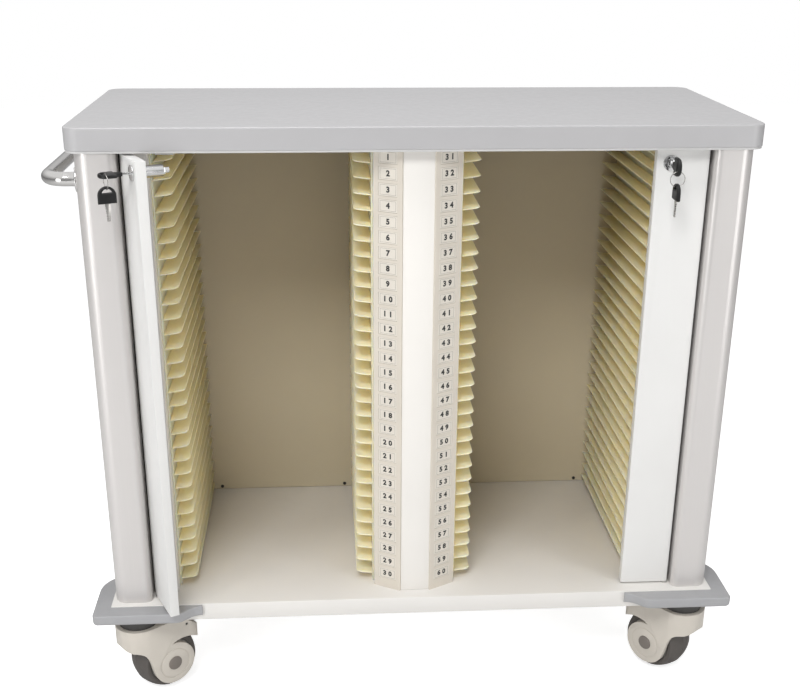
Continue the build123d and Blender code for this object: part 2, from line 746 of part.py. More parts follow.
# Back panel screws: small dark heads at the foot of the panel, two in each bay.
bay_middle = divider_face + rack_sheet + bay_width / 2
back_screw_spread = bay_width - 2 * ledge_reach - 4 * back_screw_diameter
with BuildPart() as back_panel_screws:
    screw_row = at(0, back_face_y, floor_top + back_screw_drop)
    with BuildSketch(Plane(screw_row, x_dir=(1, 0, 0), z_dir=(0, -1, 0))):
        with GridLocations(2 * bay_middle, 0, 2, 1):
            with GridLocations(back_screw_spread, 0, 2, 1):
                Circle(back_screw_diameter / 2)
    extrude(amount=back_screw_height, taper=15)
back_panel_screws.part.label = "back_panel_screws"
export_step(back_panel_screws.part, "parts/back_panel_screws.step")

# Caster stems: a dark disc under each beam with a stem through it, a nut inside the beam,
# and a pin below that the hood turns on.
disc_bottom = base_bottom - swivel_disc_height
with BuildPart() as caster_stems:
    with BuildSketch(Plane(at(0, 0, disc_bottom))):
        with GridLocations(2 * caster_x, 2 * caster_y, 2, 2):
            Circle(swivel_disc_diameter / 2)
    extrude(amount=swivel_disc_height)
    with BuildSketch(Plane(at(0, 0, disc_bottom - swivel_pin_length))):
        with GridLocations(2 * caster_x, 2 * caster_y, 2, 2):
            Circle(stem_diameter / 2)
    extrude(amount=swivel_pin_length + swivel_disc_height + stem_length)
    with BuildSketch(Plane(at(0, 0, base_bottom + beam_wall))):
        with GridLocations(2 * caster_x, 2 * caster_y, 2, 2):
            RegularPolygon(stem_nut_flats / 2, 6, major_radius=False)
            Circle(stem_diameter / 2 + running_gap, mode=Mode.SUBTRACT)
    extrude(amount=stem_nut_height)
caster_stems.part.label = "caster_stems"
export_step(caster_stems.part, "parts/caster_stems.step")

# Casters: a cream hood that swivels, a wheel on an axle inside it, and a brake pedal in front.
wheel_radius = wheel_diameter / 2
hub_radius = hub_diameter / 2
hood_top = disc_bottom - swivel_gap
cavity_radius = wheel_radius + hood_wheel_gap
cavity_width = tyre_width + 2 * hood_side_gap
rear_x = caster_trail + hood_rear_reach
cover_start = radians(215)
cover_end = radians(95)
lip_z = wheel_radius + hood_lip_rise
well_start = -pedal_sheet / 2 - pedal_gap
well_end = pedal_length + hood_width
well_floor = -pedal_sheet / 2 - pedal_gap
well_drop = well_end * tan(radians(pedal_press))
for corner, (sx, sy) in corners.items():
    heading = radians(caster_angles[corner])
    trail = Vector(cos(heading), sin(heading), 0)
    sideways = trail.cross(up)
    pivot = at(sx * caster_x, sy * caster_y, 0)
    side_view = Plane(pivot, x_dir=trail, z_dir=sideways)
    plan_view = Plane(pivot, x_dir=trail, z_dir=up)
    axle_view = Plane(pivot + trail * caster_trail + up * wheel_radius, x_dir=trail, z_dir=sideways)
    pedal_pin = pivot + trail * pedal_pivot_reach + up * (hood_top - pedal_pivot_drop)
    down_tail = trail * cos(radians(pedal_slope)) - up * sin(radians(pedal_slope))
    pedal_view = Plane(pedal_pin, x_dir=down_tail, z_dir=sideways)

    def on_cover(angle):
        x = caster_trail + hood_cover_radius * cos(angle)
        z = wheel_radius + hood_cover_radius * sin(angle)
        return (x, z)

    with BuildPart() as hood:
        with BuildSketch(side_view):
            with BuildLine():
                front_lip = (hood_nose_cut - hood_width / 2, lip_z)
                front_nose = (-hood_width / 2 - hood_trim, lip_z + hood_nose_rise)
                nose_bend = (hood_nose_cut / 4 - hood_width / 2, lip_z + hood_nose_rise / 4)
                lip_middle = (-hood_width / 8, lip_z - hood_lip_sag)
                fender_end = (rear_x, wheel_radius + hood_cover_radius * 0.75)
                fender_bow = (caster_trail + hood_rear_reach / 2, wheel_radius + hood_cover_radius * 1.12)
                rear_shoulder = (rear_x, hood_top - hood_tail_drop)
                rear_top = (rear_x - hood_tail_run, hood_top)
                front_top = (-hood_width / 2 - hood_trim, hood_top)
                Spline(
                    front_lip,
                    lip_middle,
                    on_cover(cover_start),
                    tangents=[(1, -0.1), (-sin(cover_start), cos(cover_start))],
                )
                ThreePointArc(on_cover(cover_start), on_cover(radians(335)), on_cover(cover_end))
                ThreePointArc(on_cover(cover_end), fender_bow, fender_end)
                Polyline(fender_end, rear_shoulder, rear_top, front_top, front_nose)
                ThreePointArc(front_nose, nose_bend, front_lip)
            make_face()
        extrude(amount=hood_width / 2, both=True)
        with BuildSketch(plan_view) as footprint:
            Circle(hood_width / 2)
            with Locations((rear_x / 2, 0)):
                Rectangle(rear_x, hood_width)
            fillet(footprint.vertices().sort_by(Axis.X)[-2:], hood_width / 5)
        extrude(amount=hood_top, mode=Mode.INTERSECT)
        with BuildSketch(axle_view):
            Circle(cavity_radius)
        extrude(amount=cavity_width / 2, both=True, mode=Mode.SUBTRACT)
        with BuildSketch(axle_view):
            Circle(axle_diameter / 2 + running_gap)
        extrude(amount=hood_width, both=True, mode=Mode.SUBTRACT)
        for face_side in (1, -1):
            with BuildSketch(axle_view.offset(face_side * hood_width / 2)):
                Circle(cover_groove_radius + cover_groove_width)
                Circle(cover_groove_radius, mode=Mode.SUBTRACT)
            extrude(amount=-face_side * cover_groove_depth, mode=Mode.SUBTRACT)
        with BuildSketch(plan_view.offset(hood_top)):
            Circle(stem_diameter / 2 + running_gap)
        extrude(amount=-swivel_pin_length, mode=Mode.SUBTRACT)
        if sy < 0:
            with BuildSketch(pedal_view):
                with BuildLine():
                    Polyline(
                        (well_start, well_floor),
                        (well_end, well_floor - well_drop),
                        (well_end, hood_width),
                        (well_start, hood_width),
                        close=True,
                    )
                make_face()
            extrude(amount=pedal_width / 2 + pedal_gap, both=True, mode=Mode.SUBTRACT)
            with BuildSketch(pedal_view):
                Circle(pedal_pin_diameter / 2 + running_gap)
            extrude(amount=hood_width, both=True, mode=Mode.SUBTRACT)
    hood.part.label = corner + "_caster_hood"
    export_step(hood.part, f"parts/{corner}_caster_hood.step")

    # Axle: a steel pin with a grey cap on each end, seated on the hood's side covers.
    with BuildPart() as axle:
        with BuildSketch(axle_view):
            Circle(axle_diameter / 2)
        extrude(amount=hood_width / 2, both=True)
        for face_side in (1, -1):
            with BuildSketch(axle_view.offset(face_side * hood_width / 2)):
                Circle(axle_cap_diameter / 2)
            extrude(amount=face_side * axle_cap_height, taper=20)
    axle.part.label = corner + "_caster_axle"
    export_step(axle.part, f"parts/{corner}_caster_axle.step")

    # Wheel hub: runs on the axle.
    with BuildPart() as wheel_hub:
        with BuildSketch(axle_view):
            Circle(hub_radius)
            Circle(axle_diameter / 2 + running_gap, mode=Mode.SUBTRACT)
        extrude(amount=hub_width / 2, both=True)
    wheel_hub.part.label = corner + "_wheel_hub"
    export_step(wheel_hub.part, f"parts/{corner}_wheel_hub.step")

    # Tyre: a crowned dark tread with a parting ridge round its middle.
    tread_edge = wheel_radius - tyre_crown
    tread_top = wheel_radius - tyre_ridge_height
    ridge_half = tyre_ridge_width / 2
    crown_angle = asin((tread_top - tread_edge) / (tyre_width / 2))
    tread_mid = (tread_edge + (tread_top - tread_edge) * cos(crown_angle), tyre_width / 4)
    with BuildPart() as tyre:
        with BuildSketch(Plane(axle_view.origin, x_dir=up, z_dir=trail)):
            with BuildLine():
                bead = hub_radius + running_gap
                Polyline((bead, -tyre_width / 2), (tread_edge, -tyre_width / 2))
                ThreePointArc(
                    (tread_edge, -tyre_width / 2),
                    (tread_edge + (tread_top - tread_edge) * 0.75, -tyre_width / 4),
                    (tread_top, -ridge_half),
                )
                Polyline(
                    (tread_top, -ridge_half),
                    (wheel_radius, -ridge_half / 2),
                    (wheel_radius, ridge_half / 2),
                    (tread_top, ridge_half),
                )
                ThreePointArc(
                    (tread_top, ridge_half),
                    (tread_edge + (tread_top - tread_edge) * 0.75, tyre_width / 4),
                    (tread_edge, tyre_width / 2),
                )
                Polyline((tread_edge, tyre_width / 2), (bead, tyre_width / 2), (bead, -tyre_width / 2))
            make_face()
        revolve(axis=Axis(axle_view.origin, sideways))
    tyre.part.label = corner + "_tyre"
    export_step(tyre.part, f"parts/{corner}_tyre.step")

    # Brake pedal: a sloping tread plate on a cross pin at the hood's tail, on the front casters only.
    if sy < 0:
        with BuildPart() as pedal:
            with BuildSketch(pedal_view):
                with Locations(((pedal_length - pedal_sheet / 2) / 2, 0)):
                    Rectangle(pedal_length + pedal_sheet / 2, pedal_sheet)
            extrude(amount=pedal_width / 2, both=True)
            with BuildSketch(pedal_view):
                Circle(pedal_pin_diameter / 2)
            extrude(amount=hood_width / 2 - pedal_gap, both=True)
        pedal.part.label = corner + "_brake_pedal"
        export_step(pedal.part, f"parts/{corner}_brake_pedal.step")
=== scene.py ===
import json
from math import cos, radians, sin

import bpy
from mathutils import Matrix, Vector


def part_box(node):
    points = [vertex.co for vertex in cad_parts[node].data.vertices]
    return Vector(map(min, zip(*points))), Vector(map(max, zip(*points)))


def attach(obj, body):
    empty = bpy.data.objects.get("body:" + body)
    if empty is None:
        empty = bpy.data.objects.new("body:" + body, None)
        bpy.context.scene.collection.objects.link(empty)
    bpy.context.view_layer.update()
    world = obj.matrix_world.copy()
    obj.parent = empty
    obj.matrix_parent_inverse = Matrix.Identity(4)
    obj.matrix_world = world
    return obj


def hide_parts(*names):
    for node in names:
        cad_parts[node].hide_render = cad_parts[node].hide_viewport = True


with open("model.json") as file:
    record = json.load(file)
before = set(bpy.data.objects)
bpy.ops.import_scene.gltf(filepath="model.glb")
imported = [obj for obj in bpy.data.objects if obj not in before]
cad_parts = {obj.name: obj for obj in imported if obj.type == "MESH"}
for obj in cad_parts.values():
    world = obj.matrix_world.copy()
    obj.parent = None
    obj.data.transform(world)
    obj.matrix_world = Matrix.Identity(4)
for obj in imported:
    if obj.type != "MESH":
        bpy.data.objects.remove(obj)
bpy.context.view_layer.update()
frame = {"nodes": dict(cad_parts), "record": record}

# Base tray and beams
# The tray is one folded sheet of steel, powder coated white, open below.
# Two box-section beams are welded under it, front to back, and carry the casters.


def deselect_all():
    if bpy.context.mode != "OBJECT":
        bpy.ops.object.mode_set(mode="OBJECT")
    bpy.ops.object.select_all(action="DESELECT")


def make_active(piece):
    deselect_all()
    piece.select_set(True)
    bpy.context.view_layer.objects.active = piece


def eased(node, body, radius, segments=2, sharp=35.0, fuse=1e-5):
    """A copy of a CAD piece with its folds and corners eased by a small radius."""
    source = frame["nodes"][node]
    piece = bpy.data.objects.new(node + "_eased", source.data.copy())
    bpy.context.scene.collection.objects.link(piece)
    make_active(piece)
    bpy.ops.object.mode_set(mode="EDIT")
    bpy.ops.mesh.select_all(action="SELECT")
    bpy.ops.mesh.remove_doubles(threshold=fuse)
    bpy.ops.mesh.dissolve_limited(angle_limit=radians(0.5))
    bpy.ops.object.mode_set(mode="OBJECT")
    edge = piece.modifiers.new("edge", "BEVEL")
    edge.limit_method = "ANGLE"
    edge.angle_limit = radians(sharp)
    edge.width = radius
    edge.segments = segments
    edge.use_clamp_overlap = True
    bpy.ops.object.modifier_apply(modifier="edge")
    bpy.ops.object.shade_smooth_by_angle(angle=radians(sharp))
    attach(piece, body)
    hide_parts(node)
    return piece


def coat(piece, finish):
    piece.data.materials.clear()
    piece.data.materials.append(finish)


def new_finish(name):
    finish = bpy.data.materials.new(name)
    finish.use_nodes = True
    tree = finish.node_tree
    return finish, tree.nodes, tree.links, tree.nodes["Principled BSDF"]


def noise(nodes, links, scale, detail, stretch=(1.0, 1.0, 1.0)):
    """Noise on the piece's own coordinates, in features per metre, stretched along an axis."""
    place = nodes.new("ShaderNodeTexCoord")
    turn = nodes.new("ShaderNodeMapping")
    turn.inputs["Scale"].default_value = stretch
    grain = nodes.new("ShaderNodeTexNoise")
    grain.inputs["Scale"].default_value = scale
    grain.inputs["Detail"].default_value = detail
    links.new(place.outputs["Object"], turn.inputs["Vector"])
    links.new(turn.outputs["Vector"], grain.inputs["Vector"])
    return grain


def tone(nodes, links, grain, target, low, high):
    """Spreads a noise between two values or colours on a socket of the shader."""
    ramp = nodes.new("ShaderNodeValToRGB")
    ramp.color_ramp.elements[0].position = 0.3
    ramp.color_ramp.elements[1].position = 0.7
    if isinstance(low, float):
        low = (low, low, low)
        high = (high, high, high)
    ramp.color_ramp.elements[0].color = (*low, 1.0)
    ramp.color_ramp.elements[1].color = (*high, 1.0)
    links.new(grain.outputs["Fac"], ramp.inputs["Fac"])
    links.new(ramp.outputs["Color"], target)


def relief(nodes, links, grain, shader, depth, strength):
    bump = nodes.new("ShaderNodeBump")
    bump.inputs["Distance"].default_value = depth
    bump.inputs["Strength"].default_value = strength
    links.new(grain.outputs["Fac"], bump.inputs["Height"])
    links.new(bump.outputs["Normal"], shader.inputs["Normal"])


def shade(colour, share):
    return tuple(c * share for c in colour)


def powder_coat(name, colour, smooth=0.34, rough=0.46):
    """Powder coat: faint clouding, a fine orange-peel skin and a soft sheen."""
    finish, nodes, links, shader = new_finish(name)
    clouds = noise(nodes, links, 7.0, 3.0)
    tone(nodes, links, clouds, shader.inputs["Base Color"], shade(colour, 0.965), colour)
    tone(nodes, links, noise(nodes, links, 60.0, 2.0), shader.inputs["Roughness"], smooth, rough)
    relief(nodes, links, noise(nodes, links, 900.0, 1.0), shader, 0.0002, 0.12)
    shader.inputs["Specular IOR Level"].default_value = 0.42
    return finish


panel_white = powder_coat("panel_white", (0.745, 0.725, 0.695))
for node in ("base_tray", "base_beams"):
    coat(eased(node, "rack", 0.0012), panel_white)

# Casters
# Each has a dark steel swivel disc on a stem, a cream plastic hood that turns under it,
# a grey hub with a dark crowned tyre, and an axle with a cap pressed on each end.


def moulded(name, colour, smooth, rough, grain_scale=700.0, depth=0.0001, strength=0.2, cloud=0.93):
    """Moulded plastic or rubber: slight flow marks and a fine grain in the skin."""
    finish, nodes, links, shader = new_finish(name)
    flow_marks = noise(nodes, links, 18.0, 4.0)
    tone(nodes, links, flow_marks, shader.inputs["Base Color"], shade(colour, cloud), colour)
    tone(nodes, links, noise(nodes, links, 90.0, 3.0), shader.inputs["Roughness"], smooth, rough)
    relief(nodes, links, noise(nodes, links, grain_scale, 2.0), shader, depth, strength)
    return finish


swivel_dark = powder_coat("swivel_dark", (0.060, 0.058, 0.055), 0.40, 0.55)
stem_clearance = 0.00005
stems = eased("caster_stems", "rack", 0.0006)
bpy.ops.object.mode_set(mode="EDIT")
bpy.ops.mesh.select_all(action="SELECT")
bpy.ops.transform.shrink_fatten(value=-stem_clearance)
bpy.ops.object.mode_set(mode="OBJECT")
coat(stems, swivel_dark)
hood_cream = moulded("hood_cream", (0.62, 0.575, 0.51), 0.30, 0.42)
axle_grey = moulded("axle_grey", (0.19, 0.165, 0.145), 0.42, 0.55)
hub_grey = moulded("hub_grey", (0.30, 0.29, 0.27), 0.45, 0.60)
tyre_dark = moulded("tyre_dark", (0.088, 0.078, 0.071), 0.55, 0.75, 420.0, 0.0003, 0.35)
seam_grey = moulded("seam_grey", (0.20, 0.185, 0.17), 0.55, 0.75, 420.0, 0.0003, 0.35)
tyre_radius = 0.0560
seam_half = 0.0009
seam_sunk = 0.00005
seam_radius = tyre_radius - seam_sunk - seam_half
roll_joints = {joint["name"]: joint for joint in frame["record"]["behaviour"]["joints"]}
caster_corners = ("front_left", "front_right", "rear_left", "rear_right")
for corner in caster_corners:
    coat(eased(corner + "_caster_hood", corner + "_caster", 0.0018, 3), hood_cream)
    coat(eased(corner + "_caster_axle", corner + "_caster", 0.0006), axle_grey)
    coat(eased(corner + "_wheel_hub", corner + "_wheel", 0.0010), hub_grey)
    coat(eased(corner + "_tyre", corner + "_wheel", 0.0008), tyre_dark)
    roll = roll_joints[corner + "_wheel_roll"]
    deselect_all()
    bpy.ops.mesh.primitive_torus_add(
        location=roll["pos_m"],
        rotation=Vector(roll["axis"]).to_track_quat("Z", "Y").to_euler(),
        major_segments=96,
        minor_segments=10,
        major_radius=seam_radius,
        minor_radius=seam_half,
    )
    seam = bpy.context.active_object
    seam.name = corner + "_tyre_seam"
    bpy.ops.object.transform_apply(location=True, rotation=True, scale=True)
    bpy.ops.object.shade_smooth()
    coat(seam, seam_grey)
    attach(seam, corner + "_wheel")

# Brake pedals
# A black moulded tread on a cross pin at the tail of each front hood.
# Pressed down, it holds the wheel.
pedal_black = moulded("pedal_black", (0.028, 0.027, 0.026), 0.45, 0.6)
for corner in ("front_left", "front_right"):
    coat(eased(corner + "_brake_pedal", corner + "_brake", 0.0010), pedal_black)

# Corner bumpers
# Soft grey mouldings that wrap the tray's corners and stand proud of them.
# They are screwed on from inside the tray.
bumper_grey = moulded("bumper_grey", (0.37, 0.37, 0.38), 0.50, 0.68, 520.0, 0.00015, 0.3)
for corner in caster_corners:
    coat(frame["nodes"][corner + "_bumper"], bumper_grey)

# Columns
# Hollow aluminium extrusions with a rounded nose, satin anodised, drawn along their length.
# One stands at each corner, between the tray and the top.


def drawn_metal(name, colour, metal, smooth, rough):
    """Drawn satin metal: fine lines along its length and a broken sheen."""
    finish, nodes, links, shader = new_finish(name)
    lines = noise(nodes, links, 500.0, 2.0, (1.0, 1.0, 0.002))
    tone(nodes, links, lines, shader.inputs["Base Color"], shade(colour, 0.985), colour)
    tone(nodes, links, noise(nodes, links, 6.0, 2.0), shader.inputs["Roughness"], smooth, rough)
    relief(nodes, links, lines, shader, 0.000002, 0.02)
    shader.inputs["Metallic"].default_value = metal
    return finish


column_satin = drawn_metal("column_satin", (0.63, 0.607, 0.593), 0.40, 0.35, 0.39)
for corner in caster_corners:
    coat(frame["nodes"][corner + "_column"], column_satin)

# Side panels, back panel, inner walls and centre divider
# White powder-coated sheet, folded and fixed between the columns. The back panel's colour is darkened
# and warmed to a beige as painted shade, for the shade deep in the bays.
# The back panel has four dark screw heads along its foot, each with a cross recess.


def cut_away(piece, cutters):
    """Cuts small recesses into a piece."""
    deselect_all()
    for cutter in cutters:
        cutter.select_set(True)
    bpy.context.view_layer.objects.active = cutters[0]
    bpy.ops.object.join()
    tool = bpy.context.active_object
    make_active(piece)
    recess = piece.modifiers.new("recess", "BOOLEAN")
    recess.operation = "DIFFERENCE"
    recess.solver = "EXACT"
    recess.object = tool
    bpy.ops.object.modifier_apply(modifier="recess")
    bpy.data.objects.remove(tool)


for node in ("left_side_panel", "right_side_panel", "left_inner_wall", "right_inner_wall"):
    coat(eased(node, "rack", 0.0010), panel_white)
divider_white = powder_coat("divider_white", (0.82, 0.795, 0.755))
coat(eased("centre_divider", "rack", 0.0010), divider_white)
# Painted shade: the back panel's colour is darkened and warmed to beige to stand in for the shade deep
# inside the bays.
back_painted_shade = powder_coat("back_painted_shade", (0.60, 0.535, 0.395))
coat(eased("back_panel", "rack", 0.0010), back_painted_shade)
screw_black = powder_coat("screw_black", (0.03, 0.03, 0.03))
back_screws = eased("back_panel_screws", "rack", 0.0004)
screws_low, screws_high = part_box("back_panel_screws")
screws_middle = (screws_low.x + screws_high.x) / 2
screw_places = (0.114, 0.365)
slot_long = 0.0040
slot_wide = 0.0009
slot_deep = 0.0012
for size in ((slot_long, slot_deep, slot_wide), (slot_wide, slot_deep, slot_long)):
    slots = []
    for out in screw_places:
        for hand in (-1, 1):
            deselect_all()
            bpy.ops.mesh.primitive_cube_add(
                size=1.0,
                location=(screws_middle + hand * out, screws_low.y, (screws_low.z + screws_high.z) / 2),
                scale=size,
            )
            slots.append(bpy.context.active_object)
    cut_away(back_screws, slots)
coat(back_screws, screw_black)

# Jamb seals
# A black rubber strip fills the gap behind each flap's hinge edge, glued to the jamb
# with two soft lips towards the front.
seal_black = moulded("seal_black", (0.022, 0.020, 0.018), 0.6, 0.8)
seal_width = 0.0070
seal_depth = 0.0014
lip_inset = 0.0012
lip_rise = 0.0008
for side, hand in (("left", -1), ("right", 1)):
    wall_low, wall_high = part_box(side + "_inner_wall")
    column_low, column_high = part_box("front_" + side + "_column")
    column_face = column_low.x if hand > 0 else column_high.x
    seal_back = wall_low.y
    seal_middle = column_face - hand * seal_width / 2
    deselect_all()
    bpy.ops.mesh.primitive_cube_add(size=1.0)
    seal = bpy.context.active_object
    seal.name = side + "_jamb_seal"
    seal.scale = (seal_width, seal_depth, wall_high.z - wall_low.z)
    seal.location = (seal_middle, seal_back - seal_depth / 2, (wall_low.z + wall_high.z) / 2)
    bpy.ops.object.transform_apply(location=True, rotation=True, scale=True)
    bpy.ops.object.mode_set(mode="EDIT")
    bpy.ops.mesh.select_all(action="DESELECT")
    bpy.ops.object.mode_set(mode="OBJECT")
    for face in seal.data.polygons:
        face.select = face.normal.y < -0.9
    bpy.ops.object.mode_set(mode="EDIT")
    bpy.ops.mesh.inset(thickness=lip_inset, depth=0.0)
    bpy.ops.mesh.extrude_region_move(TRANSFORM_OT_translate={"value": (0.0, -lip_rise, 0.0)})
    bpy.ops.object.mode_set(mode="OBJECT")
    soft_edge = seal.modifiers.new("edge", "BEVEL")
    soft_edge.width = 0.0003
    soft_edge.segments = 2
    bpy.ops.object.modifier_apply(modifier="edge")
    coat(seal, seal_black)
    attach(seal, "rack")

# Racks
# Cream plastic ledges on a backing sheet, one for each slot, tilted up towards their tips.
# Light passes a little way into the thin plastic.
rack_cream = moulded("rack_cream", (0.99, 0.855, 0.555), 0.40, 0.55)
cream_shader = rack_cream.node_tree.nodes["Principled BSDF"]
cream_shader.inputs["Subsurface Weight"].default_value = 0.9
cream_shader.inputs["Subsurface Radius"].default_value = (1.0, 0.75, 0.4)
cream_shader.inputs["Subsurface Scale"].default_value = 0.02
for node in ("left_wall_rack", "divider_left_rack", "divider_right_rack", "right_wall_rack"):
    coat(eased(node, "rack", 0.0006), rack_cream)

# Label strips, slot cards and numbers
# A cream strip on each slanted flank of the divider holds a printed card beside every slot.
# The numbers run from 1 at the top left to 60 at the bottom right.
label_cream = moulded("label_cream", (0.69, 0.635, 0.555), 0.45, 0.6)
for node in ("left_label_strip", "right_label_strip"):
    coat(frame["nodes"][node], label_cream)
card_white = moulded("card_white", (0.735, 0.69, 0.615), 0.35, 0.5, 1500.0, 0.00003, 0.2)
coat(frame["nodes"]["slot_cards"], card_white)
print_black = moulded("print_black", (0.020, 0.019, 0.018), 0.45, 0.6, 2500.0, 0.00001, 0.1)
# Thin grey box lines round the numbers on the cards.
box_line_grey = moulded("box_line_grey", (0.34, 0.31, 0.27), 0.45, 0.6, 2500.0, 0.00001, 0.1)

divider_low, divider_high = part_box("centre_divider")
cards_low, cards_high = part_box("slot_cards")
body_middle = (divider_low.x + divider_high.x) / 2
post_half = 0.023
flank_run = divider_high.x - body_middle - post_half
flank_depth = 0.026
card_face = 0.0026
card_size = (0.0324, 0.0194)
slot_pitch = 0.025
slots_per_bay = 30
ink = 0.00012
number_size = 0.0122
number_spread = 1.7
number_weight = 0.0006
line_inset = (0.0050, 0.0036)
line_width = 0.0004


def join_pieces(pieces, name):
    deselect_all()
    for piece in pieces:
        piece.select_set(True)
    bpy.context.view_layer.objects.active = pieces[0]
    bpy.ops.object.join()
    joined = bpy.context.active_object
    joined.name = name
    bpy.ops.object.transform_apply(location=True, rotation=True, scale=True)
    return joined


def frame_line(place, turn):
    """One thin grey box line round a number."""
    deselect_all()
    bpy.ops.mesh.primitive_plane_add(size=1.0)
    line = bpy.context.active_object
    line.scale = (card_size[0] - line_inset[0], card_size[1] - line_inset[1], 1.0)
    bpy.ops.object.transform_apply(scale=True)
    bpy.ops.object.mode_set(mode="EDIT")
    bpy.ops.mesh.select_all(action="SELECT")
    bpy.ops.mesh.inset(thickness=line_width, depth=0.0)
    bpy.ops.mesh.delete(type="FACE")
    bpy.ops.mesh.select_all(action="SELECT")
    bpy.ops.mesh.extrude_region_move(TRANSFORM_OT_translate={"value": (0.0, 0.0, ink)})
    bpy.ops.object.mode_set(mode="OBJECT")
    line.location = place
    line.rotation_euler = turn
    return line


for side, hand, first in (("left", -1, 1), ("right", 1, 31)):
    along = Vector((flank_run, hand * flank_depth, 0.0)).normalized()
    outward = along.cross(Vector((0.0, 0.0, 1.0)))
    turn = Matrix((along, (0.0, 0.0, 1.0), outward)).transposed().to_euler()
    strip_x = body_middle + hand * (post_half + flank_run / 2)
    strip = Vector((strip_x, divider_low.y + flank_depth / 2, 0.0))
    numbers = []
    lines = []
    for row in range(slots_per_bay):
        height = cards_high.z - card_size[1] / 2 - row * slot_pitch
        place = strip + outward * card_face + Vector((0.0, 0.0, height))
        deselect_all()
        bpy.ops.object.text_add(location=place, rotation=turn)
        number = bpy.context.active_object
        number.data.body = str(first + row)
        number.data.size = number_size
        number.data.align_x = "CENTER"
        number.data.align_y = "CENTER"
        number.data.space_character = number_spread
        number.data.offset = number_weight
        number.data.extrude = ink
        number.data.resolution_u = 3
        bpy.ops.object.convert(target="MESH")
        numbers.append(bpy.context.active_object)
        lines.append(frame_line(place, turn))
    slot_numbers = join_pieces(numbers, side + "_slot_numbers")
    coat(slot_numbers, print_black)
    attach(slot_numbers, "rack")
    number_boxes = join_pieces(lines, side + "_number_boxes")
    coat(number_boxes, box_line_grey)
    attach(number_boxes, "rack")

# Top
# A grey moulded cover with rounded corners, closed below by a shallow sheet pan.
# The pan is powder coated grey, and its hem shows under the cover's edge.
top_grey = moulded("top_grey", (0.445, 0.44, 0.447), 0.36, 0.48, 800.0, 0.0001, 0.15, 0.975)
hem_grey = powder_coat("hem_grey", (0.58, 0.575, 0.57))
coat(frame["nodes"]["top_cover"], top_grey)
coat(eased("top_underpanel", "rack", 0.0006), hem_grey)

# Push handle
# A polished steel tube with a flange welded to each end, a bead of weld round each leg.
# Two socket screws hold each flange to a left column.


def polished(name, colour, smooth, rough):
    """Polished or plated metal with faint wiping marks."""
    finish, nodes, links, shader = new_finish(name)
    tone(nodes, links, noise(nodes, links, 40.0, 4.0), shader.inputs["Roughness"], smooth, rough)
    wiping = noise(nodes, links, 9.0, 2.0)
    tone(nodes, links, wiping, shader.inputs["Base Color"], shade(colour, 0.95), colour)
    shader.inputs["Metallic"].default_value = 1.0
    return finish


handle_steel = polished("handle_steel", (0.58, 0.57, 0.56), 0.08, 0.18)
coat(eased("push_handle", "rack", 0.0012, 3), handle_steel)
screw_steel = polished("screw_steel", (0.58, 0.57, 0.56), 0.22, 0.35)
handle_screws = eased("handle_screws", "rack", 0.0004)
screws_low, screws_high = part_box("handle_screws")
screw_radius = 0.0030
socket_radius = 0.0016
socket_depth = 0.0030
weld_radius = 0.0112
weld_bead = 0.0016
sockets = []
for across in (screws_low.y + screw_radius, screws_high.y - screw_radius):
    for height in (screws_low.z + screw_radius, screws_high.z - screw_radius):
        deselect_all()
        bpy.ops.mesh.primitive_cylinder_add(
            vertices=6,
            radius=socket_radius,
            depth=socket_depth,
            location=(screws_low.x, across, height),
            rotation=(0.0, radians(90.0), 0.0),
        )
        sockets.append(bpy.context.active_object)
    deselect_all()
    bpy.ops.mesh.primitive_torus_add(
        location=(screws_high.x, across, (screws_low.z + screws_high.z) / 2),
        rotation=(0.0, radians(90.0), 0.0),
        major_segments=64,
        minor_segments=12,
        major_radius=weld_radius,
        minor_radius=weld_bead,
    )
    weld = bpy.context.active_object
    weld.name = "handle_weld_front" if across < 0.0 else "handle_weld_rear"
    bpy.ops.object.transform_apply(location=True, rotation=True, scale=True)
    bpy.ops.object.shade_smooth()
    coat(weld, handle_steel)
    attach(weld, "rack")
cut_away(handle_screws, sockets)
coat(handle_screws, screw_steel)
coat(frame["nodes"]["flap_pivot_pins"], screw_steel)

